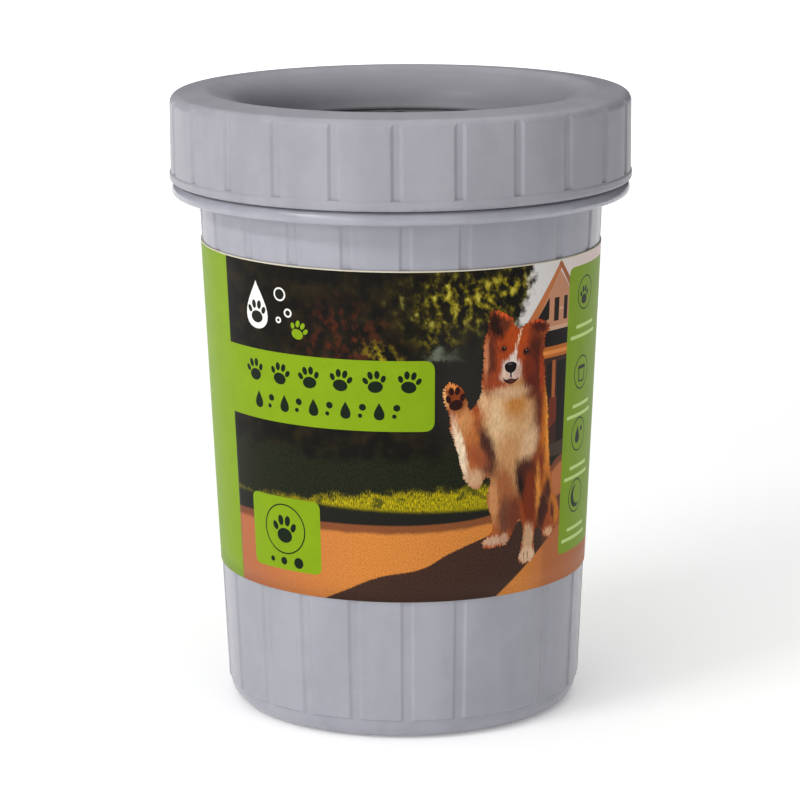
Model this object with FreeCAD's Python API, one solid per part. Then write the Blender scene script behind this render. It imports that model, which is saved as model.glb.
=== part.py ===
import FreeCAD, Part

import math
import os

from FreeCAD import Vector

# A hand-held paw washer: a tapered cup, a screw-on collar with a bell-mouthed throat, a silicone bristle
# insert that hangs from the collar into the cup, and a printed label round the cup.
# The origin is at the centre of the cup's foot, on the surface that it stands on. +Z is up, and the
# front of the label faces -Y. Lengths are in millimetres and angles in degrees.

UP = Vector(0, 0, 1)
CENTRE = Vector(0, 0, 0)
FULL_TURN = 360.0

# Cup
CUP_FOOT_RADIUS = 44.7
CUP_DRAFT = 0.0447  # radius gained for each millimetre of height
CUP_WALL = 2.0
CUP_FLOOR = 2.2
FOOT_RECESS = 1.2
FOOT_RING_INNER_RADIUS = 36.0
GATE_RADIUS = 2.0
GATE_HEIGHT = 0.4
BASE_ROUNDING = 4.8
PANEL_BOTTOM = 5.4  # below here the wall steps in to the depth of the grooves
FLANGE_RADIUS = 57.3
FLANGE_BOTTOM = 130.15
FLANGE_TOP = 133.5
FLANGE_LOWER_ROUNDING = 1.2
FLANGE_UPPER_ROUNDING = 2.0
NECK_RADIUS = 51.2
RIM_HEIGHT = 143.45
RIM_ROUNDING = 0.5
CUP_GROOVES = 22
CUP_GROOVE_WIDTH = 3.3
CUP_GROOVE_DEPTH = 0.45
CUP_GROOVE_TOP = 129.4
CUP_GROOVE_PHASE = 0.8

# Collar
COLLAR_RADIUS = 57.5
BEAD_RADIUS = 57.8
BEAD_HEIGHT = 2.0
COLLAR_BOTTOM = 133.7
SKIRT_BORE_RADIUS = 54.6
COLLAR_GROOVES = 24
COLLAR_GROOVE_WIDTH = 2.9
COLLAR_GROOVE_DEPTH = 0.5
COLLAR_GROOVE_PHASE = -1.4
SHOULDER_HEIGHT = 155.05
SHOULDER_ROUNDING = 2.4
CREST_RADIUS = 48.2
CREST_HEIGHT = 156.1
BELL_RADIUS = 38.6  # where the slope down from the crest meets the steep wall of the throat
BELL_HEIGHT = 153.2
BELL_ROUNDING = 8.0
THROAT_RADIUS = 37.1
LIP_HEIGHT = 146.3
LIP_BOTTOM = 145.7
THROAT_WALL = 1.9
UNDERSIDE_HEIGHT = 153.9
RIB_INNER_RADIUS = 48.5
RIB_OUTER_RADIUS = 50.6
SNAP_RADIUS = 54.05

# Screw thread: one start, right-handed, the same lead on both parts
THREAD_LEAD = 5.0
RIDGE_ROOT_WIDTH = 1.8
RIDGE_CREST_WIDTH = 1.0
ROOT_EMBED = 0.6
CUP_RIDGE_CREST_RADIUS = 53.6
CUP_RIDGE_START = 135.2
CUP_RIDGE_TURNS = 1.42
COLLAR_RIDGE_CREST_RADIUS = 51.9
COLLAR_RIDGE_DROP = 2.3  # how far the collar's ridge lies below the cup's when closed
FREE_TURNS = 1.0  # turns from closed until the two ridges part

# Bristle insert
INSERT_FLANGE_RADIUS = 54.4
INSERT_FLANGE_BOTTOM = 143.5
INSERT_TOP = 145.5
SLEEVE_BORE_RADIUS = 38.2
SLEEVE_WALL = 1.6
SLEEVE_BOTTOM = 22.0
HEM_HEIGHT = 3.0
HEM_THICKNESS = 0.6
SLOT_WIDTH = 2.4
SLOT_TOP = 145.0
BRISTLE_COLUMNS = 24
BRISTLE_ROWS = 13
BRISTLE_PITCH = 7.8
BRISTLE_LOWEST = 34.0
BRISTLE_ROOT_RADIUS = 1.7
BRISTLE_TIP_RADIUS = 1.0
BRISTLE_TIP_ROUNDING = 0.8
BRISTLE_TIP_CIRCLE = 21.0

# Label
LABEL_THICKNESS = 0.25
LABEL_GAP = 0.05
LABEL_BOTTOM = 36.0
LABEL_TOP = 118.4
LABEL_TILT = 0.51  # the label is stuck on slightly lower on its +X side
LABEL_SEAM_DEGREES = 12.0


def cup_radius(height):
    """Outer radius of the cup's tapered wall at a height above the foot."""
    return CUP_FOOT_RADIUS + CUP_DRAFT * height


def rounded_face(corners, place):
    """Face inside corners of the form (a, b) or (a, b, rounding). place turns (a, b) into a point."""
    points = [place(corner[0], corner[1]) for corner in corners]
    spans = []
    for i, corner in enumerate(corners):
        here = points[i]
        rounding = corner[2] if len(corner) > 2 else 0
        if rounding == 0:
            spans.append((here, None, here))
            continue
        back = (points[i - 1] - here).normalize()
        ahead = (points[(i + 1) % len(points)] - here).normalize()
        half = back.getAngle(ahead) / 2
        reach = rounding / math.tan(half)
        inward = (back + ahead).normalize()
        middle = here + inward * (rounding / math.sin(half) - rounding)
        spans.append((here + back * reach, middle, here + ahead * reach))
    edges = []
    for i, (first, middle, last) in enumerate(spans):
        if middle is not None:
            edges.append(Part.Arc(first, middle, last).toShape())
        following = spans[(i + 1) % len(spans)][0]
        if last.distanceToPoint(following) > 1e-6:
            edges.append(Part.LineSegment(last, following).toShape())
    return Part.Face(Part.Wire(edges))


def turned(corners, degrees=FULL_TURN):
    """Solid made by turning an outline of (radius, height, rounding) corners about the Z axis."""
    outline = rounded_face(corners, lambda radius, height: Vector(radius, 0, height))
    return outline.revolve(CENTRE, UP, degrees)


def polar_copies(shape, count, phase=0.0):
    """Copies of a shape spaced evenly round the Z axis."""
    copies = []
    for i in range(count):
        copy = shape.copy()
        copy.rotate(CENTRE, UP, phase + FULL_TURN * i / count)
        copies.append(copy)
    return copies


def groove_section(radius, height, width, depth):
    """Level section of a groove that faces -Y: broad soft lips, sloping sides and a rounded floor."""
    half = width / 2
    reach = half + 0.85
    above, lip, slope = 1.0, 0.06, 0.75
    lip_rounding, floor_rounding = 1.0, 0.6
    corners = [
        (-reach, above),
        (-reach, lip),
        (-half, -lip / 2, lip_rounding),
        (slope - half, -depth, floor_rounding),
        (half - slope, -depth, floor_rounding),
        (half, -lip / 2, lip_rounding),
        (reach, lip),
        (reach, above),
    ]
    return rounded_face(corners, lambda along, out: Vector(along, -radius - out, height))


def cup_groove():
    """Groove that runs down the tapered wall and is open at the bottom."""
    bottom = PANEL_BOTTOM - 0.8
    height = CUP_GROOVE_TOP - bottom
    depth = CUP_GROOVE_DEPTH - 0.02
    section = groove_section(cup_radius(bottom), bottom, CUP_GROOVE_WIDTH, depth)
    return section.extrude(Vector(0, -CUP_DRAFT * height, height))


def collar_groove():
    """Groove that runs straight up from the bead and out through the rounded shoulder."""
    bottom = COLLAR_BOTTOM + BEAD_HEIGHT + 0.5
    section = groove_section(COLLAR_RADIUS, bottom, COLLAR_GROOVE_WIDTH, COLLAR_GROOVE_DEPTH)
    return section.extrude(UP * (SHOULDER_HEIGHT - bottom))


def across_wall(before, corner, after, wall):
    """Corner on a wall's far side, for a corner of its near side that has the wall on its left."""
    sides = []
    for start, end in ((before, corner), (corner, after)):
        run = math.dist(start, end)
        sides.append(((start[1] - end[1]) / run, (end[0] - start[0]) / run))
    (a, b), (c, d) = sides
    scale = wall / (1 + a * c + b * d)
    return corner[0] + (a + c) * scale, corner[1] + (b + d) * scale


def thread_ridge(root_radius, crest_radius, start_height, first_turn, last_turn):
    """Helical ridge with a trapezoid section, from one turn to another along a helix from start_height."""
    turns = last_turn - first_turn
    spine = Part.makeHelix(THREAD_LEAD, THREAD_LEAD * turns, root_radius)
    half_root = RIDGE_ROOT_WIDTH / 2
    half_crest = RIDGE_CREST_WIDTH / 2
    section = [
        Vector(root_radius, 0, -half_root),
        Vector(crest_radius, 0, -half_crest),
        Vector(crest_radius, 0, half_crest),
        Vector(root_radius, 0, half_root),
    ]
    wire = Part.makePolygon(section + section[:1])
    ridge = Part.Wire(spine).makePipeShell([wire], True, True)
    ridge.rotate(CENTRE, UP, FULL_TURN * first_turn)
    ridge.translate(Vector(0, 0, start_height + THREAD_LEAD * first_turn))
    return ridge


def make_cup_body():
    """Tapered cup with a foot ring, upright grooves, a stop flange and a threaded neck."""
    floor_top = FOOT_RECESS + CUP_FLOOR
    step_bottom = PANEL_BOTTOM - 0.35
    shell = turned([
        (0, FOOT_RECESS - GATE_HEIGHT),
        (GATE_RADIUS, FOOT_RECESS - GATE_HEIGHT),
        (GATE_RADIUS, FOOT_RECESS),
        (FOOT_RING_INNER_RADIUS - FOOT_RECESS, FOOT_RECESS, 0.5),
        (FOOT_RING_INNER_RADIUS, 0, 0.4),
        (cup_radius(0) - CUP_GROOVE_DEPTH, 0, BASE_ROUNDING),
        (cup_radius(step_bottom) - CUP_GROOVE_DEPTH, step_bottom, 0.2),
        (cup_radius(PANEL_BOTTOM), PANEL_BOTTOM, 0.3),
        (cup_radius(FLANGE_BOTTOM), FLANGE_BOTTOM, 0.8),
        (FLANGE_RADIUS, FLANGE_BOTTOM, FLANGE_LOWER_ROUNDING),
        (FLANGE_RADIUS, FLANGE_TOP, FLANGE_UPPER_ROUNDING),
        (NECK_RADIUS, FLANGE_TOP, 0.4),
        (NECK_RADIUS, RIM_HEIGHT, RIM_ROUNDING),
        (cup_radius(RIM_HEIGHT) - CUP_WALL, RIM_HEIGHT, RIM_ROUNDING),
        (cup_radius(floor_top) - CUP_WALL, floor_top, BASE_ROUNDING - CUP_WALL),
        (0, floor_top),
    ])
    grooves = polar_copies(cup_groove(), CUP_GROOVES, CUP_GROOVE_PHASE)
    shell = shell.cut(Part.makeCompound(grooves))
    ridge = thread_ridge(
        NECK_RADIUS - ROOT_EMBED, CUP_RIDGE_CREST_RADIUS, CUP_RIDGE_START, 0, CUP_RIDGE_TURNS
    )
    return shell.fuse(ridge)


def make_screw_collar():
    """Collar with grip grooves, a bell-mouthed throat, a sealing rib, a snap bead and a thread."""
    crest = (CREST_RADIUS, CREST_HEIGHT)
    bell = (BELL_RADIUS, BELL_HEIGHT)
    lip = (THROAT_RADIUS, LIP_HEIGHT)
    under_bell = across_wall(crest, bell, lip, THROAT_WALL)
    wall_run = (under_bell[1] - LIP_BOTTOM) / (BELL_HEIGHT - LIP_HEIGHT)
    under_lip = under_bell[0] - wall_run * (BELL_RADIUS - THROAT_RADIUS)
    shell = turned([
        (SKIRT_BORE_RADIUS, COLLAR_BOTTOM, 0.4),
        (BEAD_RADIUS, COLLAR_BOTTOM, 0.9),
        (BEAD_RADIUS, COLLAR_BOTTOM + BEAD_HEIGHT, 0.4),
        (COLLAR_RADIUS, COLLAR_BOTTOM + BEAD_HEIGHT + 0.4, 0.4),
        (COLLAR_RADIUS, SHOULDER_HEIGHT, SHOULDER_ROUNDING),
        (*crest, 4.0),
        (*bell, BELL_ROUNDING),
        (*lip, 0.4),
        (THROAT_RADIUS + 0.2, LIP_BOTTOM, 0.25),
        (under_lip, LIP_BOTTOM, 0.4),
        (*under_bell, BELL_ROUNDING - THROAT_WALL),
        (RIB_INNER_RADIUS, UNDERSIDE_HEIGHT, 0.4),
        (RIB_INNER_RADIUS, INSERT_TOP + 0.05, 0.3),
        (RIB_OUTER_RADIUS, INSERT_TOP + 0.05, 0.3),
        (RIB_OUTER_RADIUS, UNDERSIDE_HEIGHT, 0.4),
        (SKIRT_BORE_RADIUS, UNDERSIDE_HEIGHT, 0.8),
        (SKIRT_BORE_RADIUS, 143.4),
        (SNAP_RADIUS, 143.2),
        (SNAP_RADIUS, 142.8),
        (SKIRT_BORE_RADIUS, 142.2),
    ])
    grooves = polar_copies(collar_groove(), COLLAR_GROOVES, COLLAR_GROOVE_PHASE)
    shell = shell.cut(Part.makeCompound(grooves))
    ridge = thread_ridge(
        SKIRT_BORE_RADIUS + ROOT_EMBED, COLLAR_RIDGE_CREST_RADIUS,
        CUP_RIDGE_START - COLLAR_RIDGE_DROP, CUP_RIDGE_TURNS - FREE_TURNS, CUP_RIDGE_TURNS,
    )
    return shell.fuse(ridge)


def make_insert_sleeve():
    """Silicone sleeve with a sealing flange, a hem and one slot with a round top at the back."""
    sleeve_radius = SLEEVE_BORE_RADIUS + SLEEVE_WALL
    sleeve = turned([
        (SLEEVE_BORE_RADIUS, SLEEVE_BOTTOM + HEM_HEIGHT),
        (SLEEVE_BORE_RADIUS - HEM_THICKNESS, SLEEVE_BOTTOM + HEM_HEIGHT, 0.3),
        (SLEEVE_BORE_RADIUS - HEM_THICKNESS, SLEEVE_BOTTOM, 0.6),
        (sleeve_radius, SLEEVE_BOTTOM, 0.6),
        (sleeve_radius, INSERT_FLANGE_BOTTOM, 1.5),
        (INSERT_FLANGE_RADIUS, INSERT_FLANGE_BOTTOM, 0.5),
        (INSERT_FLANGE_RADIUS, INSERT_TOP, 0.5),
        (SLEEVE_BORE_RADIUS, INSERT_TOP, 0.5),
    ])
    depth = 3 * SLEEVE_WALL
    corner = Vector(-SLOT_WIDTH / 2, SLEEVE_BORE_RADIUS - SLEEVE_WALL, SLEEVE_BOTTOM - 1)
    slot = Part.makeBox(SLOT_WIDTH, depth, SLOT_TOP - SLEEVE_BOTTOM + 1, corner)
    top_edges = [
        edge for edge in slot.Edges
        if abs(edge.BoundBox.YLength - depth) < 1e-6 and edge.BoundBox.ZMin > SLOT_TOP - 1
    ]
    return sleeve.cut(slot.makeFillet(SLOT_WIDTH / 2 - 0.05, top_edges))


def make_insert_bristles():
    """Rows of round-tipped bristles, rooted in the sleeve's wall and pointing at the axis."""
    root = SLEEVE_BORE_RADIUS + SLEEVE_WALL / 2
    length = root - BRISTLE_TIP_CIRCLE
    upright = turned([
        (0, 0),
        (BRISTLE_ROOT_RADIUS, 0),
        (BRISTLE_TIP_RADIUS, length, BRISTLE_TIP_ROUNDING),
        (0, length),
    ])
    column = []
    for row in range(BRISTLE_ROWS):
        bristle = upright.copy()
        bristle.rotate(CENTRE, Vector(1, 0, 0), -90)
        bristle.translate(Vector(0, -root, BRISTLE_LOWEST + BRISTLE_PITCH * row))
        column.append(bristle)
    column = Part.makeCompound(column)
    half_step = FULL_TURN / BRISTLE_COLUMNS / 2
    raised = column.copy()
    raised.translate(Vector(0, 0, BRISTLE_PITCH / 2))
    return Part.makeCompound(
        polar_copies(column, BRISTLE_COLUMNS // 2, half_step)
        + polar_copies(raised, BRISTLE_COLUMNS // 2, 3 * half_step)
    )


def make_label_sleeve():
    """Thin printed band round the cup, glued over itself along a seam at the back."""
    margin = 3.0

    def band(layers, degrees):
        low = LABEL_BOTTOM - margin
        high = LABEL_TOP + margin
        thickness = LABEL_THICKNESS * layers
        return turned([
            (cup_radius(low) + LABEL_GAP, low),
            (cup_radius(low) + LABEL_GAP + thickness, low),
            (cup_radius(high) + LABEL_GAP + thickness, high),
            (cup_radius(high) + LABEL_GAP, high),
        ], degrees)

    seam = band(2, LABEL_SEAM_DEGREES)
    seam.rotate(CENTRE, UP, 90)
    middle = (LABEL_BOTTOM + LABEL_TOP) / 2
    height = LABEL_TOP - LABEL_BOTTOM
    window = Part.makeBox(160, 160, height, Vector(-80, -80, LABEL_BOTTOM))
    window.rotate(Vector(0, 0, middle), Vector(0, 1, 0), LABEL_TILT)
    return band(1, FULL_TURN).fuse(seam).common(window)


def export(name, shape, count=1):
    """Writes a node's solids to its STEP file."""
    solids = shape.Solids
    assert len(solids) == count and all(solid.isValid() for solid in solids), name
    result = solids[0] if count == 1 else Part.makeCompound(solids)
    result.exportStep("parts/" + name + ".step")
    print(f"{name}: {count} solids, {len(result.Faces)} faces, {result.Volume / 1000:.1f} cm3")


os.makedirs("parts", exist_ok=True)
export("cup_body", make_cup_body())
export("screw_collar", make_screw_collar())
export("insert_sleeve", make_insert_sleeve())
export("insert_bristles", make_insert_bristles(), BRISTLE_COLUMNS * BRISTLE_ROWS)
export("label_sleeve", make_label_sleeve())
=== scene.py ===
import math
import random

import bpy
from mathutils import Euler, Matrix, Vector, geometry


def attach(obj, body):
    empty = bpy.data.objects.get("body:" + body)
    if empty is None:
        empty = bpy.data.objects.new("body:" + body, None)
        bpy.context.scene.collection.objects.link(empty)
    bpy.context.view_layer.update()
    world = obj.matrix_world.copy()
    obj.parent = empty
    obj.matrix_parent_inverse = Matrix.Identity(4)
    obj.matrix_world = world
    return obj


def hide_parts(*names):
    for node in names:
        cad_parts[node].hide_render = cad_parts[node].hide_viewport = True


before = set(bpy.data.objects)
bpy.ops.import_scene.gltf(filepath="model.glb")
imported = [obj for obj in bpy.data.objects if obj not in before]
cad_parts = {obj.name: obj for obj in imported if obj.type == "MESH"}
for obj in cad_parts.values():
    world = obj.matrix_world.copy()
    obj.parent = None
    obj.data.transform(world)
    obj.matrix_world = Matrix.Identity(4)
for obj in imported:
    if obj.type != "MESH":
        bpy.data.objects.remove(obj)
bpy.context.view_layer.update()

MM = 0.001

# The label's paper, in millimetres along the wrap (0 at the front, + to the right) and above the foot.
WALL_FOOT_RADIUS = 44.7
WALL_DRAFT = 0.0447
WRAP_RADIUS = 48.2
PAPER_BOTTOM = 36.0
PAPER_TOP = 118.4
PAPER_TILT = math.radians(0.51)
PAPER_GAP = 0.05
PAPER_THICKNESS = 0.25
HALF_WRAP = math.pi * WRAP_RADIUS
OVERLAP = 5.0
PAPER_LEFT = -HALF_WRAP - OVERLAP
PAPER_RIGHT = HALF_WRAP + OVERLAP
CUT_EDGE = 0.32
PICTURE_RIGHT = 82
PAST_WRAP = 170
PRINTS = ("scene", "coat", "flat", "paper")
GRID_COLUMNS = 200
GRID_ROWS = 16


def ink(red, green, blue):
    """Linear colour, with alpha, from 0 to 255 screen values."""
    def linear(value):
        value /= 255
        return value / 12.92 if value <= 0.04045 else ((value + 0.055) / 1.055) ** 2.4
    return linear(red), linear(green), linear(blue), 1.0


GREEN = ink(143, 171, 26)
DARK_INK = ink(30, 44, 24)
PALE_INK = ink(206, 226, 150)
WHITE_INK = ink(238, 238, 232)
PAPER_WHITE = ink(232, 226, 210)
BEAM_TAN = ink(196, 130, 84)
WALL_BEIGE = ink(202, 152, 122)
TRIM_PALE = ink(214, 176, 150)
WINDOW_DARK = ink(44, 34, 26)
PORCH_DARK = ink(34, 26, 20)
BRICK_RED = ink(128, 62, 40)


# Materials

class Graph:
    """Builds a material's or a world's nodes. Inputs are numbers, vectors, colours or nodes' sockets."""

    def __init__(self, owner, shader="Principled BSDF"):
        owner.use_nodes = True
        self.owner = owner
        self.nodes, self.links = owner.node_tree.nodes, owner.node_tree.links
        self.shader = self.nodes[shader]

    def put(self, socket, value):
        if isinstance(value, bpy.types.NodeSocket):
            self.links.new(value, socket)
        else:
            socket.default_value = value

    def shade(self, **inputs):
        for name, value in inputs.items():
            self.put(self.shader.inputs[name.replace("_", " ")], value)

    def math(self, operation, a, b=0.0):
        node = self.nodes.new("ShaderNodeMath")
        node.operation = operation
        self.put(node.inputs[0], a)
        self.put(node.inputs[1], b)
        return node.outputs[0]

    def times(self, a, b):
        return self.math("MULTIPLY", a, b)

    def less(self, value, cut):
        """The value with a share of it, cut, taken away."""
        return self.times(value, self.math("SUBTRACT", 1.0, cut))

    def smooth(self, value, low, high):
        """0 at low and 1 at high, with a soft step between."""
        node = self.nodes.new("ShaderNodeMapRange")
        node.interpolation_type = "SMOOTHSTEP"
        for socket, number in zip(node.inputs, (value, low, high, 0.0, 1.0)):
            self.put(socket, number)
        return node.outputs[0]

    def scaled(self, vector, scale, rotation=0.0, offset=(0, 0, 0)):
        """The vector moved so that offset is its origin, turned and stretched."""
        node = self.nodes.new("ShaderNodeMapping")
        node.vector_type = "TEXTURE"
        self.put(node.inputs["Vector"], vector)
        self.put(node.inputs["Location"], offset)
        self.put(node.inputs["Rotation"], (0, 0, rotation))
        self.put(node.inputs["Scale"], scale)
        return node.outputs[0]

    def noise(self, vector, size, detail=3.0, roughness=0.55, colour=False):
        """Noise with features of about the given size, centred on 0.5."""
        node = self.nodes.new("ShaderNodeTexNoise")
        self.put(node.inputs["Vector"], vector)
        self.put(node.inputs["Scale"], 1 / size)
        self.put(node.inputs["Detail"], detail)
        self.put(node.inputs["Roughness"], roughness)
        return node.outputs["Color" if colour else "Fac"]

    def mix(self, factor, a, b):
        node = self.nodes.new("ShaderNodeMix")
        node.data_type = "RGBA"
        self.put(node.inputs["Factor"], factor)
        self.put(node.inputs[6], a)
        self.put(node.inputs[7], b)
        return node.outputs[2]

    def shaded(self, colour, brightness):
        """The colour times a brightness."""
        node = self.nodes.new("ShaderNodeCombineXYZ")
        for socket in node.inputs:
            self.put(socket, brightness)
        return self.vector_math("MULTIPLY", colour, node.outputs[0])

    def radius(self, place):
        """Distance from the cup's axis."""
        squares = [self.math("POWER", side, 2.0) for side in self.separate(place)[:2]]
        return self.math("SQRT", self.math("ADD", *squares))

    def separate(self, vector):
        node = self.nodes.new("ShaderNodeSeparateXYZ")
        self.put(node.inputs[0], vector)
        return node.outputs[0], node.outputs[1], node.outputs[2]

    def vector_math(self, operation, a, b=(0, 0, 0)):
        node = self.nodes.new("ShaderNodeVectorMath")
        node.operation = operation
        self.put(node.inputs[0], a)
        self.put(node.inputs[1], b)
        return node.outputs["Value" if operation == "LENGTH" else "Vector"]

    def bump(self, height, distance, strength=1.0, normal=None):
        node = self.nodes.new("ShaderNodeBump")
        self.put(node.inputs["Height"], height)
        self.put(node.inputs["Distance"], distance)
        self.put(node.inputs["Strength"], strength)
        if normal is not None:
            self.put(node.inputs["Normal"], normal)
        return node.outputs[0]

    def curve(self, value, low, high, points):
        """Height of a smooth line through points, read at value, which runs from low to high."""
        span = [y for _, y in points]
        bottom, top = min(span), max(span)
        node = self.nodes.new("ShaderNodeFloatCurve")
        line = node.mapping.curves[0]
        while len(line.points) < len(points):
            line.points.new(0.5, 0.5)
        for knot, (x, y) in zip(line.points, points):
            knot.location = ((x - low) / (high - low), (y - bottom) / (top - bottom))
        node.mapping.update()
        along = self.math("DIVIDE", self.math("SUBTRACT", value, low), high - low)
        self.put(node.inputs["Value"], along)
        return self.math("ADD", self.times(node.outputs[0], top - bottom), bottom)

    def spot(self, vector, centre, radii, degrees, softness):
        """1 inside a turned ellipse and 0 outside, with a soft rim."""
        local = self.scaled(vector, (radii[0], radii[1], 1), math.radians(degrees), (*centre, 0))
        distance = self.vector_math("LENGTH", local)
        return self.smooth(distance, 1 + softness, 1 - softness)


def moulded_plastic(name, low, high, roughness, grain, translucency, gloss):
    """Injection-moulded polypropylene: flow mottling, a fine grained skin, scuffs, and painted shade that
    darkens the throat.
    """
    g = Graph(bpy.data.materials.new(name))
    place = g.nodes.new("ShaderNodeTexCoord").outputs["Object"]
    flow = g.noise(g.scaled(place, (0.012, 0.012, 0.045)), 1.0, 3.0)
    cloud = g.noise(place, 0.006, 4.0)
    tone = g.math("ADD", g.times(flow, 0.65), g.times(cloud, 0.35))
    colour = g.mix(g.smooth(tone, 0.35, 0.65), low, high)
    specks = g.smooth(g.noise(place, 0.0007, 2.0, 0.6), 0.76, 0.82)
    colour = g.mix(g.times(specks, 0.12), colour, ink(236, 236, 240))
    # Painted shade: the base colour is darkened inside the throat, standing in for the shade that falls
    # there.
    painted_throat_shade = g.times(g.smooth(g.radius(place), 0.047, 0.040), g.smooth(g.separate(place)[2], 0.13, 0.14))
    colour = g.mix(g.times(painted_throat_shade, 0.6), colour, ink(118, 117, 122))
    scuffs = g.noise(g.scaled(place, (0.0022, 0.0022, 0.0006)), 1.0, 5.0, 0.7)
    shine = g.math("ADD", roughness - 0.05, g.times(scuffs, 0.1))
    skin = g.noise(place, grain, 3.0, 0.6)
    waves = g.noise(place, 0.004, 2.0)
    normal = g.bump(skin, 0.00003, 0.35, g.bump(waves, 0.0001, 0.25))
    g.shade(Base_Color=colour, Roughness=shine, Normal=normal)
    g.shade(IOR=1.49, Specular_IOR_Level=gloss)
    g.shade(Subsurface_Weight=translucency, Subsurface_Radius=(1.0, 1.0, 1.1), Subsurface_Scale=0.0025)
    return g.owner


def silicone():
    """Dark grey silicone: matte, with a dusty bloom and a fine moulded grain."""
    g = Graph(bpy.data.materials.new("dark_silicone"))
    place = g.nodes.new("ShaderNodeTexCoord").outputs["Object"]
    bloom = g.smooth(g.noise(place, 0.005, 4.0), 0.35, 0.7)
    colour = g.mix(bloom, ink(128, 128, 132), ink(144, 144, 148))
    lint = g.smooth(g.noise(place, 0.0009, 2.0), 0.74, 0.8)
    colour = g.mix(g.times(lint, 0.25), colour, ink(160, 160, 164))
    shine = g.math("ADD", 0.45, g.times(bloom, 0.15))
    g.shade(Base_Color=colour, Roughness=shine)
    g.shade(Normal=g.bump(g.noise(place, 0.0004, 3.0), 0.00004, 0.4))
    g.shade(Sheen_Weight=0.15)
    return g.owner


def paper_skin(g, colour, place):
    """Gives a print its paper: deeper inks, and a satin varnish over fine fibres."""
    grade = g.nodes.new("ShaderNodeHueSaturation")
    g.put(grade.inputs["Value"], 0.96)
    g.put(grade.inputs["Color"], colour)
    deepen = g.nodes.new("ShaderNodeGamma")
    g.put(deepen.inputs["Gamma"], 1.22)
    g.put(deepen.inputs["Color"], grade.outputs[0])
    fibres = g.noise(g.scaled(place, (0.5, 0.12, 1)), 1.0, 3.0, 0.6)
    ripples = g.noise(place, 9.0, 1.0)
    normal = g.bump(fibres, 0.00001, 0.3, g.bump(ripples, 0.00025, 0.35))
    g.shade(Base_Color=deepen.outputs[0], Normal=normal)
    g.shade(Roughness=g.math("ADD", 0.36, g.times(fibres, 0.12)), Specular_IOR_Level=0.1)
    return g.owner


def label_place(g):
    """The paper's own coordinates, in millimetres."""
    node = g.nodes.new("ShaderNodeUVMap")
    node.uv_map = "paper_mm"
    return node.outputs[0]


def flat_print():
    """Solid inks, read from the mesh's ink colours, with a slight unevenness."""
    g = Graph(bpy.data.materials.new("label_inks"))
    place = label_place(g)
    node = g.nodes.new("ShaderNodeVertexColor")
    node.layer_name = "ink"
    blotch = g.noise(place, 6.0, 4.0)
    grain = g.noise(place, 0.35, 2.0)
    shade = g.math("ADD", g.times(blotch, 0.16), g.times(grain, 0.10))
    shade = g.math("ADD", shade, 0.87)
    return paper_skin(g, g.shaded(node.outputs["Color"], shade), place)


def plain_paper():
    """Unprinted paper, for the cut edge and the back."""
    g = Graph(bpy.data.materials.new("label_paper"))
    place = label_place(g)
    tone = g.noise(place, 0.8, 3.0)
    return paper_skin(g, g.mix(tone, PAPER_WHITE, ink(214, 206, 186)), place)


def garden_foliage(g, place, leaf_noise, dapple):
    """Dark leaves, with rusty, green and sunlit ones, and a grey patch behind the dog."""
    wobble = g.vector_math("SUBTRACT", g.noise(place, 3.0, 3.0, colour=True), (0.5, 0.5, 0.5))
    loose = g.vector_math("ADD", place, g.vector_math("MULTIPLY", wobble, (7, 7, 0)))
    colour = g.mix(g.smooth(dapple, 0.4, 0.75), ink(22, 19, 9), ink(54, 46, 22))
    ruddy = g.times(g.spot(loose, (-14, 101), (10, 8), 0, 0.8), g.smooth(leaf_noise, 0.42, 0.7))
    colour = g.mix(ruddy, colour, ink(96, 48, 26))
    green_grove = g.times(g.spot(loose, (17, 108), (17, 9), -8, 0.8), g.smooth(leaf_noise, 0.4, 0.68))
    colour = g.mix(green_grove, colour, ink(84, 78, 22))
    for centre, radii, degrees in (
        ((14, 110.5), (8.5, 5.5), 0), ((26, 113), (7, 5), 20),
        ((-5, 98), (4.5, 2), -30), ((9, 102), (4, 2.4), 0),
    ):
        sunny = g.times(g.spot(loose, centre, radii, degrees, 0.8), g.smooth(leaf_noise, 0.44, 0.7))
        colour = g.mix(sunny, colour, ink(178, 164, 34))
    glint = g.times(g.spot(loose, (15, 110), (13, 6), 0, 0.7), g.smooth(leaf_noise, 0.56, 0.76))
    colour = g.mix(glint, colour, ink(222, 214, 120))
    for centre in ((8, 97.6), (12, 97)):
        colour = g.mix(g.spot(loose, centre, (2.2, 1.2), 0, 0.8), colour, ink(150, 160, 140))
    return g.mix(g.spot(loose, (15, 89), (9, 15), 0, 0.8), colour, ink(52, 50, 45))


def garden_sky(g, place, colour, leaf_noise):
    """Sky past the right-hand edge of the trees."""
    s, t, _ = g.separate(place)
    edge_wobble = g.times(g.math("SUBTRACT", leaf_noise, 0.5), 9.0)
    tree_line = g.curve(t, 96, 119, [
        (96, 29.6), (101, 28.8), (105, 27.8), (109, 29.0), (112, 30.6), (119, 30.8),
    ])
    sky = g.smooth(g.math("ADD", s, edge_wobble), tree_line, g.math("ADD", tree_line, 3.0))
    sky = g.times(sky, g.smooth(t, 94, 96))
    sky_colour = g.mix(g.smooth(s, 34, 60), ink(222, 219, 216), ink(232, 214, 208))
    return g.mix(sky, colour, sky_colour)


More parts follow.
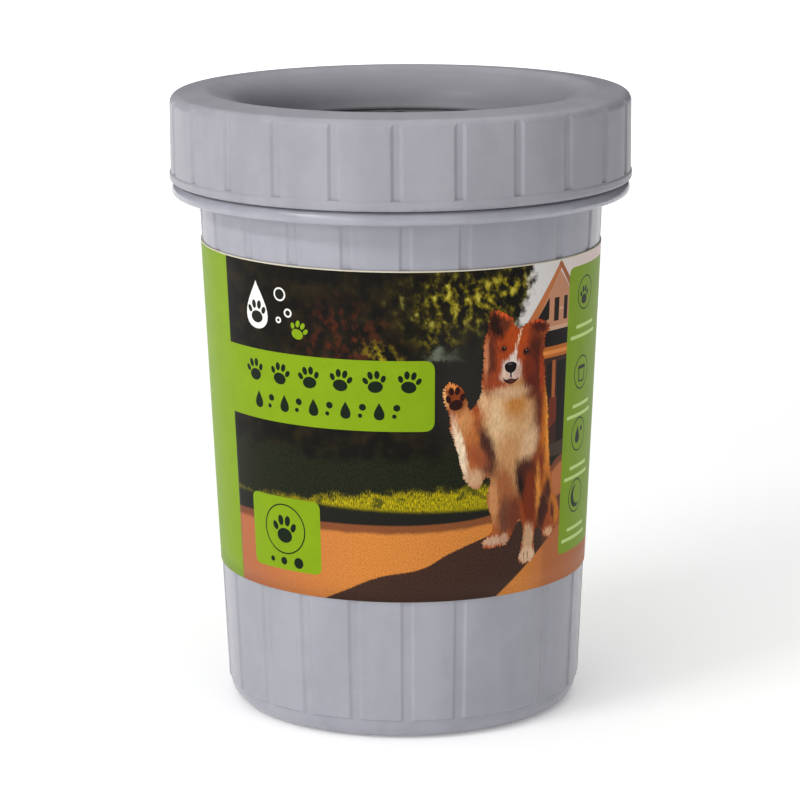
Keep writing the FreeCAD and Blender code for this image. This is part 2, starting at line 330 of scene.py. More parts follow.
def garden_lawn(g, place, colour, dapple, fine):
    """A lawn in the shade, its sunlit front, and the dark kerb below it."""
    s, t, _ = g.separate(place)
    lawn_edge = g.math("ADD", 74.5, g.times(g.math("SUBTRACT", dapple, 0.5), 10.0))
    lawn = g.smooth(t, lawn_edge, g.math("SUBTRACT", lawn_edge, 4.0))
    lawn_colour = g.mix(g.smooth(fine, 0.35, 0.65), ink(32, 34, 20), ink(48, 54, 26))
    colour = g.mix(lawn, colour, lawn_colour)
    blades = g.noise(g.scaled(place, (0.22, 1.0, 1), -0.12), 1.0, 3.0, 0.7)
    blade_lift = g.times(g.math("SUBTRACT", blades, 0.5), 3.0)
    crown = g.curve(s, -60, 60, [(-60, 60.5), (-30, 61.5), (-12, 64), (6, 65), (22, 65.6), (60, 66)])
    high = g.math("ADD", g.math("ADD", crown, blade_lift), g.times(g.math("SUBTRACT", dapple, 0.5), 6.0))
    kerb = g.curve(s, -60, 60, [(-60, 58.6), (-30, 59.2), (-10, 58.6), (20, 58.0), (60, 58.6)])
    low = g.math("ADD", kerb, blade_lift)
    below_crown = g.smooth(t, high, g.math("SUBTRACT", high, 2.4))
    in_sun = g.times(below_crown, g.smooth(t, low, g.math("ADD", low, 1.2)))
    grass = g.mix(g.smooth(blades, 0.38, 0.62), ink(100, 96, 8), ink(204, 188, 8))
    grass = g.mix(g.times(g.smooth(dapple, 0.56, 0.66), 0.75), grass, ink(60, 66, 26))
    colour = g.mix(in_sun, colour, grass)
    under = g.math("SUBTRACT", 1.0, g.smooth(t, g.math("SUBTRACT", low, 0.3), g.math("ADD", low, 0.6)))
    return g.mix(under, colour, g.mix(fine, ink(30, 31, 26), ink(50, 48, 42)))


def garden_path(g, place, colour, fine):
    """A sunlit path, with the kerb's shade on its far side and the dog's shadow across it."""
    s, t, _ = g.separate(place)
    sand = g.noise(place, 0.45, 4.0, 0.7)
    path_edge = g.curve(s, -60, 70, [
        (-60, 54.8), (-20, 55.4), (6, 55.6), (20, 56.6), (38, 62), (46, 69), (70, 70),
    ])
    on_path = g.smooth(t, g.math("ADD", path_edge, 0.25), g.math("SUBTRACT", path_edge, 0.25))
    sunlit = g.mix(g.smooth(sand, 0.3, 0.7), ink(196, 128, 68), ink(222, 154, 78))
    sunlit = g.mix(g.smooth(s, -5, -52), sunlit, ink(186, 120, 84))
    sunlit = g.mix(g.smooth(s, 30, 44), sunlit, ink(196, 128, 80))
    kerb_shade = g.math("ADD", 2.0, g.times(g.noise(place, 4.0, 3.0), 1.2))
    near_kerb = g.math("SUBTRACT", path_edge, kerb_shade)
    by_kerb = g.smooth(t, near_kerb, g.math("ADD", near_kerb, 1.2))
    sunlit = g.mix(g.times(by_kerb, 0.75), sunlit, ink(112, 66, 50))
    colour = g.mix(on_path, colour, sunlit)
    shadow_edge = g.curve(s, -24, 24, [
        (-24, 34.5), (-15, 38.8), (-6, 42.6), (4, 44.6), (12, 48.6), (24, 52.6),
    ])
    shadow_edge = g.math("ADD", shadow_edge, g.times(g.math("SUBTRACT", fine, 0.5), 0.9))
    right_edge = g.math("ADD", 36.0, g.times(g.math("SUBTRACT", s, 24.5), 0.72))
    right_cut = g.smooth(t, right_edge, g.math("ADD", right_edge, 0.5))
    shadow = g.times(g.smooth(t, shadow_edge, g.math("SUBTRACT", shadow_edge, 0.4)), right_cut)
    shadow = g.times(shadow, g.smooth(s, 47, 45))
    shadow_colour = g.mix(g.smooth(sand, 0.3, 0.7), ink(66, 46, 38), ink(92, 66, 52))
    colour = g.mix(g.times(shadow, on_path), colour, shadow_colour)
    far_ground = g.times(g.smooth(s, 38, 40), g.smooth(t, 60, 58))
    return g.mix(g.times(far_ground, 0.25), colour, ink(160, 96, 60))


def scene_print():
    """The printed garden: foliage and sky, a lawn with a kerb, and a path in front."""
    g = Graph(bpy.data.materials.new("label_garden"))
    place = label_place(g)
    leaf_noise = g.noise(g.scaled(place, (1.0, 1.4, 1), 0.25), 2.2, 2.5, 0.55)
    dapple = g.noise(place, 5.0, 3.0)
    fine = g.noise(place, 0.5, 3.0, 0.65)
    colour = garden_foliage(g, place, leaf_noise, dapple)
    colour = garden_sky(g, place, colour, leaf_noise)
    colour = garden_lawn(g, place, colour, dapple, fine)
    colour = garden_path(g, place, colour, fine)
    grain = g.math("ADD", 0.88, g.times(fine, 0.24))
    return paper_skin(g, g.shaded(colour, grain), place)


DOG_PATCHES = [
    # centre, radii, degrees, colour, softness
    ((37.5, 74), (3.4, 18), 3, ink(198, 118, 44), 0.35),
    ((39.4, 78), (1.0, 14), 2, ink(232, 160, 70), 0.6),
    ((35.2, 79), (1.9, 10), -4, ink(112, 50, 26), 0.5),
    ((36.0, 66), (2.4, 6), -10, ink(140, 66, 30), 0.5),
    ((27.0, 79), (7.6, 12), 0, ink(214, 176, 132), 0.3),
    ((25.4, 80), (4.0, 8), 8, ink(228, 196, 156), 0.5),
    ((28.6, 84.5), (3.4, 4.5), 0, ink(200, 142, 78), 0.7),
    ((27.6, 69), (5.0, 9), 0, ink(204, 158, 112), 0.5),
    ((33.2, 73.6), (2.6, 4.4), -20, ink(222, 186, 150), 0.5),
    ((25.4, 60), (3.8, 8.5), 3, ink(172, 112, 72), 0.35),
    ((22.6, 62), (1.4, 7), 4, ink(206, 152, 104), 0.6),
    ((26.2, 56), (1.6, 4.5), 0, ink(122, 80, 60), 0.6),
    ((29.0, 56), (2.2, 5), 0, ink(128, 72, 48), 0.5),
    ((31.4, 64), (1.9, 5.2), 14, ink(48, 26, 18), 0.5),
    ((32.5, 67.4), (2.6, 2.4), 0, ink(92, 50, 36), 0.6),
    ((34.0, 59.5), (2.3, 7), 2, ink(138, 62, 22), 0.35),
    ((36.9, 60), (0.9, 8), 4, ink(218, 150, 74), 0.6),
    ((38.8, 56), (1.9, 6.4), -14, ink(84, 40, 26), 0.5),
    ((40.8, 62), (1.4, 6), 12, ink(204, 130, 52), 0.5),
    ((40.6, 60.5), (1.1, 3.4), 10, ink(96, 48, 28), 0.6),
    ((43.6, 55.0), (1.9, 3.8), 16, ink(206, 132, 44), 0.5),
    ((42.6, 54.6), (0.8, 2.4), 10, ink(110, 50, 24), 0.6),
    ((20.4, 73), (2.4, 6.6), 16, ink(92, 56, 44), 0.5),
    ((19.6, 70), (2.4, 2.6), 0, ink(118, 74, 58), 0.6),
    ((16.4, 75), (2.4, 9), 8, ink(190, 122, 70), 0.45),
    ((18.0, 72), (2.0, 3.4), 40, ink(168, 98, 62), 0.6),
    ((13.8, 74), (1.2, 9), 12, ink(236, 216, 188), 0.6),
    ((17.6, 66.4), (2.4, 2.4), 0, ink(208, 172, 138), 0.6),
    ((14.4, 82.5), (2.2, 4.2), 10, ink(206, 150, 100), 0.5),
    ((12.4, 87), (2.8, 3.6), 8, ink(142, 74, 34), 0.5),
    ((11.2, 90.4), (1.9, 1.0), -30, ink(224, 150, 84), 0.6),
    ((9.7, 87.6), (0.7, 3.2), 8, ink(232, 180, 122), 0.6),
    ((19.6, 85.5), (1.4, 4), 20, ink(222, 182, 142), 0.6),
    ((26.6, 99), (7.4, 5.4), 0, ink(186, 88, 34), 0.35),
    ((24.4, 94), (3.2, 6), 10, ink(176, 84, 38), 0.5),
    ((21.2, 96), (1.7, 7), 0, ink(116, 60, 42), 0.6),
    ((20.0, 96), (0.7, 5), 0, ink(206, 140, 100), 0.7),
    ((23.0, 90.6), (2.6, 2.2), 0, ink(166, 84, 50), 0.6),
    ((34.4, 95), (2.6, 6.8), 4, ink(96, 42, 20), 0.5),
    ((32.4, 92.6), (2.2, 3.6), 0, ink(134, 58, 28), 0.5),
    ((33.6, 88), (3.0, 2.8), 0, ink(112, 46, 26), 0.5),
    ((36.6, 91), (0.9, 5), 4, ink(176, 78, 30), 0.6),
    ((29.0, 100.6), (0.26, 2.4), -18, ink(240, 206, 172), 0.5),
    ((27.8, 96.2), (0.8, 1.7), -14, ink(232, 216, 204), 0.5),
    ((27.0, 93.2), (2.6, 2.7), 0, ink(226, 214, 206), 0.35),
    ((25.4, 91.8), (1.5, 1.5), 0, ink(222, 196, 178), 0.5),
    ((28.9, 92.0), (1.1, 1.6), 0, ink(206, 178, 162), 0.5),
    ((27.0, 87.2), (5.0, 1.6), 0, ink(214, 178, 142), 0.6),
    ((22.6, 104.2), (2.0, 3.6), 24, ink(58, 32, 24), 0.5),
    ((25.0, 104.6), (1.3, 1.6), 24, ink(112, 58, 34), 0.6),
    ((24.6, 106.9), (2.6, 0.5), -30, ink(220, 104, 52), 0.5),
    ((35.4, 102.6), (2.7, 1.3), -8, ink(92, 36, 20), 0.45),
    ((34.8, 104.2), (2.8, 0.35), -4, ink(222, 96, 44), 0.5),
    ((24.7, 98.3), (1.15, 0.85), -8, ink(124, 58, 34), 0.5),
    ((31.3, 97.0), (1.2, 0.95), 10, ink(84, 40, 30), 0.5),
    ((33.8, 48.8), (1.8, 4.6), 0, ink(206, 170, 136), 0.25),
    ((33.6, 45.2), (3.0, 2.0), 0, ink(222, 190, 160), 0.35),
    ((22.6, 50.2), (2.8, 1.3), 4, ink(206, 172, 146), 0.4),
    ((26.0, 50.4), (1.4, 1.4), 0, ink(196, 160, 134), 0.4),
    ((41.2, 50.0), (1.8, 1.2), 0, ink(222, 178, 142), 0.4),
]


def dog_print():
    """The printed dog's coat, painted patch by patch under a combed fur texture."""
    g = Graph(bpy.data.materials.new("label_coat"))
    place = label_place(g)
    comb = g.noise(g.scaled(place, (0.45, 2.6, 1), 0.12), 1.0, 4.0, 0.7, colour=True)
    drift = g.vector_math("MULTIPLY", g.vector_math("SUBTRACT", comb, (0.5, 0.5, 0.5)), (3.0, 4.6, 0))
    loose = g.vector_math("ADD", place, drift)
    colour = g.mix(g.noise(place, 3.0, 3.0), ink(150, 74, 34), ink(190, 102, 48))
    for centre, radii, degrees, patch, softness in DOG_PATCHES:
        colour = g.mix(g.spot(loose, centre, radii, degrees, softness), colour, patch)
    hair = g.noise(g.scaled(place, (0.16, 1.3, 1), 0.1), 1.0, 4.0, 0.75)
    clump = g.noise(g.scaled(place, (0.7, 2.4, 1), -0.2), 1.0, 3.0)
    shade = g.math("ADD", g.times(hair, 1.1), g.times(clump, 0.6))
    shade = g.math("ADD", shade, 0.13)
    return paper_skin(g, g.shaded(colour, shade), place)


# Drawing on the flat paper

class Sheet:
    """Closed outlines on flat paper, each with an ink, a later one lying over an earlier one."""

    def __init__(self):
        self.regions = []

    def add(self, outline, kind, colour=WHITE_INK):
        line = [Vector(p) for p in outline]
        xs, ys = [p[0] for p in line], [p[1] for p in line]
        self.regions.append((line, (min(xs), max(xs), min(ys), max(ys)), kind, colour))

    def print_at(self, x, y):
        """The topmost print at a point, and its ink."""
        for line, (left, right, low, high), kind, colour in reversed(self.regions):
            if left < x < right and low < y < high and inside((x, y), line):
                return kind, colour
        return "scene", WHITE_INK

    def ellipse(self, centre, radii, colour, degrees=0.0, count=28):
        turn = Matrix.Rotation(math.radians(degrees), 2)
        outline = []
        for i in range(count):
            angle = 2 * math.pi * i / count
            spoke = Vector((radii[0] * math.cos(angle), radii[1] * math.sin(angle)))
            outline.append(Vector(centre) + turn @ spoke)
        self.add(outline, "flat", colour)

    def rounded(self, corners, radius, colour):
        self.add(rounded_outline(corners, radius), "flat", colour)

    def bar(self, left, right, middle, height, colour):
        low, high = middle - height / 2, middle + height / 2
        self.rounded([(left, low), (right, low), (right, high), (left, high)], height * 0.45, colour)

    def ring(self, centre, radius, width, colour, inside):
        self.ellipse(centre, (radius, radius), colour, count=48)
        self.ellipse(centre, (radius - width, radius - width), inside, count=48)

    def paw(self, centre, size, colour, degrees=0.0):
        """A plain paw print: one pad and four toes."""
        turn = Matrix.Rotation(math.radians(degrees), 2)
        for x, y, wide, tall, lean in (
            (0, -0.22, 0.34, 0.27, 0), (-0.40, 0.10, 0.11, 0.17, 25), (-0.15, 0.32, 0.12, 0.19, 8),
            (0.15, 0.32, 0.12, 0.19, -8), (0.40, 0.10, 0.11, 0.17, -25),
        ):
            spot = Vector(centre) + turn @ Vector((x * size, y * size))
            self.ellipse(spot, (wide * size, tall * size), colour, degrees + lean, 18)

    def drop(self, centre, size, colour):
        """A plain water drop."""
        outline = []
        for i in range(28):
            angle = 2 * math.pi * i / 28
            pull = math.sin(angle / 2) ** 1.5
            across = 0.42 * size * math.sin(angle) * pull
            outline.append((centre[0] + across, centre[1] + 0.5 * size * math.cos(angle)))
        self.add(outline, "flat", colour)


def rounded_outline(corners, radius, steps=6):
    """A polygon with its corners rounded."""
    points = []
    count = len(corners)
    for i in range(count):
        here = Vector(corners[i])
        back = (Vector(corners[i - 1]) - here).normalized()
        ahead = (Vector(corners[(i + 1) % count]) - here).normalized()
        first, last = here + back * radius, here + ahead * radius
        for k in range(steps + 1):
            u = k / steps
            points.append(first * (1 - u) ** 2 + here * 2 * u * (1 - u) + last * u ** 2)
    return points


def smooth_outline(points, steps=4):
    """A closed Catmull-Rom line through points."""
    count = len(points)
    line = []
    for i in range(count):
        p0, p1, p2, p3 = (Vector(points[(i + k) % count]) for k in (-1, 0, 1, 2))
        for k in range(steps):
            u = k / steps
            line.append(0.5 * (2 * p1 + (p2 - p0) * u + (2 * p0 - 5 * p1 + 4 * p2 - p3) * u ** 2
                               + (3 * p1 - p0 - 3 * p2 + p3) * u ** 3))
    return line


def furry_outline(points, spacing, tuft, seed):
    """A smooth closed line broken into small tufts of fur that lean downwards."""
    chance = random.Random(seed)
    line = smooth_outline(points)
    count = len(line)
    result = []
    carried = 0.0
    for i in range(count):
        here, following = line[i], line[(i + 1) % count]
        along = following - here
        outward = Vector((along.y, -along.x)).normalized()
        while carried < along.length:
            base = here + along * (carried / along.length)
            result.append(base)
            tip = base + outward * tuft * chance.uniform(-0.3, 1.0) + along.normalized() * spacing * 0.5
            result.append(tip + Vector((0, -0.25 * tuft)))
            carried += spacing * chance.uniform(0.8, 1.3)
        carried -= along.length
    return result


DOG_OUTLINE = [
    (21.2, 108.2), (23.6, 107.8), (25.6, 106.7), (27.3, 105.4), (27.7, 104.0), (29.6, 103.2), (31.4, 104.2),
    (33.6, 104.6), (36.2, 104.2), (38.3, 103.0), (38.8, 101.4), (37.5, 100.4), (37.3, 98.0), (37.0, 95.4),
    (37.6, 92.6), (37.9, 89.0), (38.7, 85.0), (39.5, 81.0), (39.8, 76.0), (40.3, 71.0), (41.2, 66.6),
    (42.2, 62.4), (42.9, 59.4), (44.6, 57.6), (45.8, 54.4), (46.0, 51.2), (44.0, 50.6), (43.0, 49.0),
    (41.0, 48.5), (39.0, 49.4), (37.6, 51.4), (36.2, 51.4), (35.9, 48.0), (36.3, 45.0), (35.2, 43.6),
    (32.6, 43.2), (30.7, 44.2), (31.2, 47.0), (31.9, 50.6), (31.6, 54.0), (30.2, 54.4), (28.6, 51.4),
    (26.8, 49.0), (23.4, 48.6), (20.2, 48.9), (20.0, 50.6), (22.4, 52.6), (22.6, 55.0), (21.4, 58.6),
    (20.9, 62.0), (21.7, 65.4), (20.6, 66.6), (19.0, 64.2), (16.8, 64.3), (15.0, 66.2), (13.9, 69.6),
    (13.1, 73.0), (12.0, 76.4), (11.0, 79.0), (10.9, 82.4), (9.9, 85.4), (9.2, 87.8), (9.7, 89.8),
    (10.9, 91.1), (12.8, 90.4), (14.3, 89.0), (15.2, 86.8), (16.0, 84.0), (17.2, 85.0), (18.8, 88.0),
    (19.0, 91.6), (19.3, 95.0), (19.2, 98.4), (19.4, 101.0), (20.3, 103.4), (20.5, 106.2),
]


def draw_house(sheet):
    """A gabled house, half hidden behind the dog and the side panel."""
    sheet.add([(33, 102.5), (42.2, 115.6), (49, 107.5), (49, 102), (36, 101.5)], "flat", WALL_BEIGE)
    sheet.add([(29.4, 101.4), (42.1, 118.0), (43.2, 117.2), (31.6, 100.4)], "flat", BEAM_TAN)
    sheet.add([(41.4, 117.4), (42.2, 118.1), (50, 108.6), (49.4, 106.8)], "flat", ink(176, 112, 76))
    sheet.add([(34.6, 104.6), (38.4, 109.4), (38.4, 104.0), (36.6, 103.4)], "flat", WINDOW_DARK)
    sheet.add([(40.2, 109.0), (42.0, 109.0), (42.0, 103.2), (40.2, 103.2)], "flat", WINDOW_DARK)
    sheet.add([(43.9, 109.0), (45.4, 109.0), (45.4, 103.2), (43.9, 103.2)], "flat", WINDOW_DARK)
    sheet.add([(42.1, 106.4), (43.8, 106.4), (43.8, 105.8), (42.1, 105.8)], "flat", TRIM_PALE)
    sheet.add([(36, 102.0), (49, 102.0), (49, 100.8), (36, 100.8)], "flat", TRIM_PALE)
    sheet.add([(36, 101.0), (49, 101.0), (49, 96.8), (36, 96.8)], "flat", PORCH_DARK)
    sheet.add([(36, 97.0), (49, 97.0), (49, 93.9), (36, 93.9)], "flat", ink(196, 122, 58))
    sheet.add([(36, 96.0), (49, 96.0), (49, 95.0), (36, 95.0)], "flat", ink(226, 154, 84))
    sheet.add([(37, 94.2), (49, 94.2), (49, 69.5), (37, 69.5)], "flat", ink(78, 48, 38))
    sheet.add([(38.4, 92.8), (40.0, 92.8), (40.0, 84.0), (38.4, 84.0)], "flat", WINDOW_DARK)
    sheet.add([(40.3, 93.4), (41.5, 93.4), (41.8, 80.0), (40.5, 80.0)], "flat", ink(182, 112, 66))
    sheet.add([(42.2, 93.0), (49, 93.0), (49, 72.0), (42.8, 72.0)], "flat", PORCH_DARK)
    sheet.add([(39.6, 84.0), (42.4, 84.0), (42.6, 78.0), (39.6, 76.0)], "flat", BRICK_RED)
    sheet.add([(39.6, 72.0), (49, 73.0), (49, 69.0), (39.6, 69.0)], "flat", ink(88, 74, 60))


def draw_dog(sheet):
    """The dog's furry outline and the crisp parts of its face and raised paw."""
    sheet.add(furry_outline(DOG_OUTLINE, 0.45, 0.75, 5), "coat")
    nose_black = ink(34, 24, 26)
    sheet.add(smooth_outline([
        (25.1, 94.2), (26.0, 94.8), (27.4, 94.8), (28.4, 94.2),
        (28.3, 93.0), (27.5, 92.2), (26.3, 92.2), (25.3, 93.0),
    ]), "flat", nose_black)
    sheet.ellipse((26.6, 94.3), (0.7, 0.22), ink(96, 84, 86), 0, 14)
    sheet.add(smooth_outline([(26.7, 92.4), (27.1, 92.4), (27.1, 91.0), (26.7, 91.0)]), "flat", nose_black)
    sheet.add(smooth_outline([
        (24.6, 91.0), (25.6, 90.5), (26.9, 90.7), (28.2, 90.4),
        (29.2, 90.7), (28.3, 89.8), (27.0, 89.4), (25.6, 89.8),
    ]), "flat", ink(62, 34, 30))
    sheet.ellipse((27.0, 90.05), (0.8, 0.26), ink(112, 60, 52), 0, 14)
    for x, y, size in ((24.7, 98.3, 0.62), (31.2, 97.0, 0.68)):
        sheet.ellipse((x, y), (size, size * 0.8), ink(36, 18, 14), 0, 16)
        sheet.ellipse((x + 0.15, y + 0.2), (size * 0.24, size * 0.2), ink(176, 160, 150), 0, 10)
    pad = ink(58, 28, 20)
    sheet.ellipse((12.6, 85.3), (1.7, 1.3), pad, 10)
    for x, y, lean in ((10.7, 86.8, 14), (11.4, 88.7, 6), (12.9, 88.8, -6), (14.2, 87.1, -14)):
        sheet.ellipse((x, y), (0.66, 1.0), pad, lean, 16)
    for x in (32.4, 33.7):
        toe_gap = [(x, 44.2), (x + 0.18, 44.2), (x + 0.22, 45.8), (x + 0.1, 46.2), (x - 0.05, 45.8)]
        sheet.add(toe_gap, "flat", ink(128, 94, 74))


def draw_tub(sheet, sides, heights, radius, colour):
    """A small cup: its left and right at the foot and at the rim, and its lowest and highest point."""
    foot_left, foot_right, rim_left, rim_right = sides
    low, high = heights
    sheet.rounded([(foot_left, low), (foot_right, low), (rim_right, high), (rim_left, high)], radius, colour)


def draw_graphics(sheet):
    """Green blocks with plain pictograms, where a label has its title, size and notes."""
    sheet.add([(-82, 30), (-49.4, 30), (-49.4, 125), (-82, 125)], "flat", GREEN)
    sheet.rounded([(-60, 79.0), (7.4, 79.0), (7.4, 96.5), (-60, 96.5)], 2.6, GREEN)
    for i in range(6):
        sheet.paw((-39.6 + 8.2 * i, 91.2), 5.4, DARK_INK, -8 if i % 2 else 8)
    for i in range(5):
        sheet.drop((-38.6 + 8.2 * i, 84.0), 4.4, DARK_INK)
        sheet.ellipse((-35.0 + 8.2 * i, 82.8), (0.55, 0.55), DARK_INK, 0, 14)
        sheet.ellipse((-34.4 + 8.2 * i, 84.9), (0.85, 0.85), DARK_INK, 0, 16)
    sheet.drop((-38.0, 107.6), 12.0, WHITE_INK)
    sheet.paw((-38.0, 105.8), 5.6, ink(46, 44, 38))
    for x, y, size in ((-30.6, 111.0, 1.7), (-28.4, 106.6, 1.1), (-31.2, 104.6, 0.8)):
        sheet.ring((x, y), size, 0.42, WHITE_INK, ink(40, 38, 32))
    sheet.paw((-25.6, 102.6), 4.6, GREEN, -20)

    sheet.rounded([(-42.9, 41.6), (-21.4, 41.6), (-21.4, 60.1), (-42.9, 60.1)], 2.0, GREEN)
    sheet.ring((-32.1, 52.0), 6.4, 0.36, DARK_INK, GREEN)
    sheet.paw((-32.1, 51.9), 7.0, DARK_INK)
    for x, size in ((-36.4, 0.7), (-32.6, 1.0), (-28.0, 1.4)):
        sheet.ellipse((x, 43.8), (size, size), DARK_INK, 0, 20)

    sheet.rounded([(46.0, 42.6), (82.0, 42.6), (82.0, 115.4), (46.0, 115.4)], 2.0, GREEN)
    for i, middle in enumerate((108.2, 88.0, 72.2, 56.4)):
        sheet.ring((54.6, middle), 4.3, 0.34, DARK_INK, GREEN)
        if i == 0:
            sheet.paw((54.0, middle - 0.6), 4.6, DARK_INK)
        elif i == 1:
            draw_tub(sheet, (52.9, 56.3, 52.4, 56.8), (middle - 2.4, middle + 1.8), 0.5, DARK_INK)
            draw_tub(sheet, (53.3, 55.9, 53.0, 56.2), (middle - 2.0, middle + 0.9), 0.3, GREEN)
        elif i == 2:
            sheet.drop((53.8, middle), 4.4, DARK_INK)
            sheet.ellipse((56.2, middle + 1.2), (0.7, 0.7), DARK_INK, 0, 14)
        else:
            sheet.ellipse((54.6, middle), (3.0, 3.0), DARK_INK, 0, 30)
            sheet.ellipse((55.7, middle + 0.5), (2.7, 2.7), GREEN, 0, 30)
        for line, (left, right) in enumerate(((50.2, 61.4), (47.6, 63.0))):
            sheet.bar(left, right, middle - 8.2 - 2.5 * line, 0.9, PALE_INK)


def draw_back(sheet):
    """The green back of the label, with a pale notes panel of plain lines."""
    for side in (-1, 1):
        near, far = side * PICTURE_RIGHT, side * PAST_WRAP
        sheet.add([(near, 30), (near, 125), (far, 125), (far, 30)][::side], "flat", GREEN)
    panel = ink(226, 236, 196)
    sheet.rounded([(96, 44), (140, 44), (140, 110), (96, 110)], 2.0, panel)
    for i in range(3):
        sheet.ring((105, 100.0 - 18 * i), 5.0, 0.4, DARK_INK, panel)
        for line in range(4):
            sheet.bar(113, 135 - 5 * (line % 2), 103.4 - 18 * i - 2.4 * line, 0.9, DARK_INK)
    sheet.paw((105, 99.8), 5.4, DARK_INK)
    sheet.drop((105, 82.0), 6.0, DARK_INK)
    draw_tub(sheet, (102.8, 107.2, 102.2, 107.8), (61.0, 66.6), 0.6, DARK_INK)
    for i in range(3):
        sheet.paw((-100 - 14 * i, 77 + 6 * (i % 2)), 9.0, ink(112, 164, 10), 12 - 12 * i)


def inside(point, outline):
    """True if a point is within a closed outline."""
    x, y = point
    hit = False
    before = outline[-1]
    for here in outline:
        if (here[1] > y) != (before[1] > y):
            if x < (before[0] - here[0]) * (y - here[1]) / (before[1] - here[1]) + here[0]:
                hit = not hit
        before = here
    return hit


def paper_point(s, t, lift):
    """Where a point of the flat paper lies round the cup, in metres."""
    angle = s / WRAP_RADIUS
    across = (WALL_FOOT_RADIUS + WALL_DRAFT * t) * math.sin(angle)
    height = t - math.tan(PAPER_TILT) * across
    step = min(max((s - HALF_WRAP + 2 * OVERLAP) / (0.6 * OVERLAP), 0), 1)
    over_seam = (PAPER_THICKNESS + PAPER_GAP) * step * step * (3 - 2 * step)
    radius = WALL_FOOT_RADIUS + WALL_DRAFT * height + PAPER_GAP + lift + over_seam
    return Vector((radius * math.sin(angle), -radius * math.cos(angle), height)) * MM


def draw_label():
    """Everything that is printed on the flat paper, and its unprinted cut edge."""
    sheet = Sheet()
    draw_house(sheet)
    draw_dog(sheet)
    draw_back(sheet)
    draw_graphics(sheet)
    low, high = PAPER_TOP - CUT_EDGE, PAPER_TOP + 5
    sheet.add([(-PAST_WRAP, low), (PAST_WRAP, low), (PAST_WRAP, high), (-PAST_WRAP, high)], "paper")
    return sheet


def cut_paper(sheet):
    """The flat paper's points, its faces cut along the print's outlines, and each face's print."""
    points, edges = [], []

    def outline(line):
        first = len(points)
        points.extend(line)
        edges.extend((first + i, first + (i + 1) % len(line)) for i in range(len(line)))

    outline([Vector(p) for p in (
        (PAPER_LEFT, PAPER_BOTTOM), (PAPER_RIGHT, PAPER_BOTTOM),
        (PAPER_RIGHT, PAPER_TOP), (PAPER_LEFT, PAPER_TOP),
    )])
    for line, _, _, _ in sheet.regions:
        outline(line)
    for i in range(GRID_COLUMNS + 1):
        s = PAPER_LEFT + (PAPER_RIGHT - PAPER_LEFT) * i / GRID_COLUMNS
        first = len(points)
        for k in range(GRID_ROWS + 1):
            points.append(Vector((s, PAPER_BOTTOM + (PAPER_TOP - PAPER_BOTTOM) * k / GRID_ROWS)))
        edges.extend((first + k, first + k + 1) for k in range(GRID_ROWS))
    flat, _, faces, _, _, _ = geometry.delaunay_2d_cdt(points, edges, [], 0, 1e-5)

    kept, prints = [], []
    for face in faces:
        x = sum(flat[i][0] for i in face) / len(face)
        y = sum(flat[i][1] for i in face) / len(face)
        if PAPER_LEFT < x < PAPER_RIGHT and PAPER_BOTTOM < y < PAPER_TOP:
            kept.append(tuple(face))
            prints.append(sheet.print_at(x, y))
    return flat, kept, prints


def make_label(materials):
    """Printed paper band: one closed shell, with the cut and printed paper as its outer face."""
    flat, kept, prints = cut_paper(draw_label())
    used = sorted({i for face in kept for i in face})
    place = {old: new for new, old in enumerate(used)}
    count = len(used)
    outer = [paper_point(flat[i][0], flat[i][1], PAPER_THICKNESS) for i in used]
    inner = [paper_point(flat[i][0], flat[i][1], 0.0) for i in used]
    front = [tuple(place[i] for i in face) for face in kept]
    back = [tuple(i + count for i in reversed(face)) for face in front]
    rim = [(b, a, a + count, b + count) for a, b in open_sides(front)]

    mesh = bpy.data.meshes.new("printed_label")
    mesh.from_pydata(outer + inner, [], front + back + rim)
    obj = bpy.data.objects.new("printed_label", mesh)
    bpy.context.scene.collection.objects.link(obj)
    for name in PRINTS:
        mesh.materials.append(materials[name])
    mesh.uv_layers.new(name="paper_mm")
    mesh.color_attributes.new("ink", "FLOAT_COLOR", "CORNER")
    paper, colours = mesh.uv_layers["paper_mm"], mesh.color_attributes["ink"]
    for i, polygon in enumerate(mesh.polygons):
        kind, colour = prints[i] if i < len(front) else ("paper", PAPER_WHITE)
        polygon.material_index = PRINTS.index(kind)
        polygon.use_smooth = i < len(front) + len(back)
        for corner in polygon.loop_indices:
            flat_point = flat[used[mesh.loops[corner].vertex_index % count]]
            paper.data[corner].uv = flat_point
            colours.data[corner].color = colour
    return obj


def open_sides(faces):
    """Directed edges that only one face has."""
    seen = {(a, b) for face in faces for a, b in zip(face, face[1:] + face[:1])}
    return [(a, b) for a, b in seen if (b, a) not in seen]


# Studio

def make_camera():
    """A long lens in front of the cup, looking slightly down at it."""
    data = bpy.data.cameras.new("camera")
    data.lens = 148.7
    data.sensor_width = 36.0
    camera = bpy.data.objects.new("camera", data)
    pitch, yaw, roll = math.radians(12.47), math.radians(-0.39), math.radians(-0.32)
    turn = Euler((math.pi / 2 - pitch, 0, yaw)).to_matrix() @ Matrix.Rotation(roll, 3, "Z")
    camera.matrix_world = Matrix.Translation((-0.0061, -0.8205, 0.2576)) @ turn.to_4x4()
    bpy.context.scene.collection.objects.link(camera)
    bpy.context.scene.camera = camera


def soft_light(name, position, target, size, power):
    """A rectangular softbox that faces a point."""
    data = bpy.data.lights.new(name, "AREA")
    data.shape = "RECTANGLE"
    data.size, data.size_y = size
    data.energy = power
    light = bpy.data.objects.new(name, data)
    light.location = position
    light.rotation_euler = (Vector(target) - Vector(position)).to_track_quat("-Z", "Y").to_euler()
    bpy.context.scene.collection.objects.link(light)


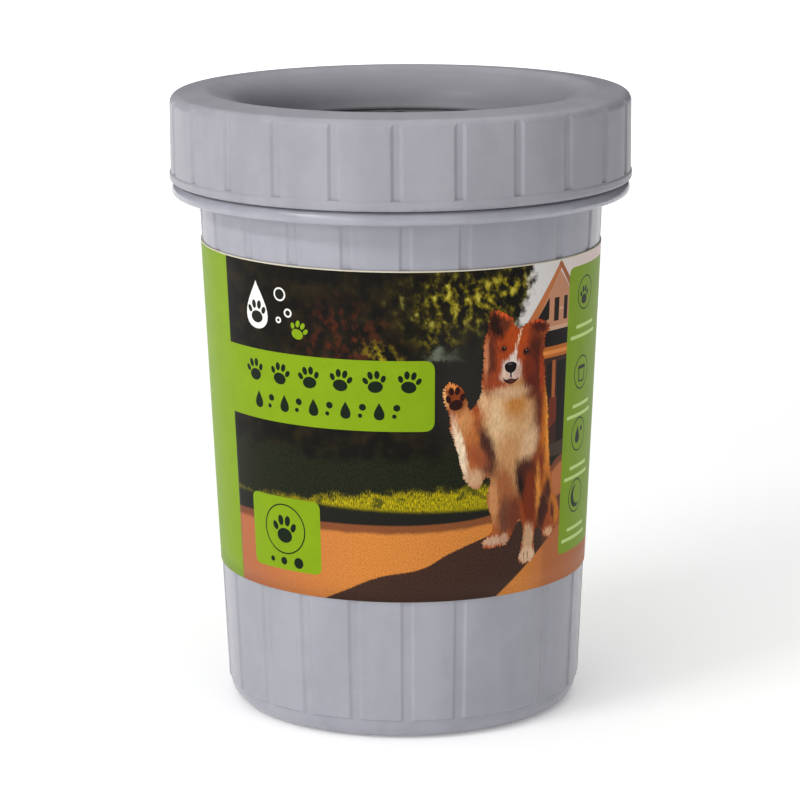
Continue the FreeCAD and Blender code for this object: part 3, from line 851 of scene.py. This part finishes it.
def make_floor():
    """A wide pale floor with a faint glow, weaker round the cup and far to the right."""
    g = Graph(bpy.data.materials.new("studio_floor"))
    place = g.nodes.new("ShaderNodeTexCoord").outputs["Object"]
    white = g.mix(g.noise(place, 0.3, 2.0), (0.90, 0.90, 0.90, 1), (0.93, 0.93, 0.93, 1))
    glow = g.math("ADD", 0.2, g.times(g.smooth(g.radius(place), 0.2, 1.6), 0.55))
    right = g.smooth(g.separate(place)[0], 0.22, 0.8)
    glow = g.less(glow, g.times(right, 0.7))
    g.shade(Base_Color=white, Roughness=0.7, Emission_Color=(1, 1, 1, 1), Emission_Strength=glow)
    mesh = bpy.data.meshes.new("studio_floor")
    half = 6.0
    corners = [(-half, -half, 0), (half, -half, 0), (half, half, 0), (-half, half, 0)]
    mesh.from_pydata(corners, [], [(0, 1, 2, 3)])
    mesh.materials.append(g.owner)
    floor = bpy.data.objects.new("studio_floor", mesh)
    bpy.context.scene.collection.objects.link(floor)


def make_studio():
    """A broad softbox at the front left, a small one above it, a faint fill, and light from overhead."""
    soft_light("broad_key", (-0.9, -1.35, 0.6), (0, 0, 0.08), (1.0, 0.5), 9.0)
    soft_light("key", (-0.72, -0.56, 0.80), (0, 0, 0.1), (0.4, 0.10), 4.4)
    soft_light("fill", (0.80, -0.62, 0.80), (0, 0, 0.1), (0.2, 0.3), 0.35)
    g = Graph(bpy.data.worlds.new("studio"), "Background")
    x, y, z = g.separate(g.nodes.new("ShaderNodeTexCoord").outputs["Generated"])
    strength = g.math("ADD", 0.04, g.times(g.smooth(y, -0.3, -0.95), 0.12))
    for direction, near, far, cut in ((x, 0.1, 0.9, 0.9), (x, -0.4, -0.95, 0.6), (y, 0.1, 0.8, 0.6)):
        strength = g.less(strength, g.times(g.smooth(direction, near, far), cut))
    overhead = g.times(g.smooth(z, 0.45, 0.95), 1.4)
    g.shade(Color=(1, 1, 1, 1), Strength=g.math("ADD", strength, overhead))
    bpy.context.scene.world = g.owner
    bpy.context.scene.view_settings.view_transform = "Standard"


def paint(node, material):
    """Gives a CAD node its finished material."""
    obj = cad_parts[node]
    obj.data.materials.clear()
    obj.data.materials.append(material)


make_camera()
make_studio()
make_floor()

cup_plastic = moulded_plastic(
    "cup_polypropylene", ink(150, 150, 159), ink(158, 158, 167),
    roughness=0.21, grain=0.0009, translucency=0.12, gloss=0.4,
)
collar_plastic = moulded_plastic(
    "collar_polypropylene", ink(147, 146, 153), ink(155, 154, 161),
    roughness=0.36, grain=0.0006, translucency=0.06, gloss=0.14,
)
dark_silicone = silicone()
paint("cup_body", cup_plastic)
paint("screw_collar", collar_plastic)
for name in ("insert_sleeve", "insert_bristles"):
    paint(name, dark_silicone)

papers = {"scene": scene_print(), "coat": dog_print(), "flat": flat_print(), "paper": plain_paper()}
label = make_label(papers)
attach(label, "cup")
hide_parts("label_sleeve")
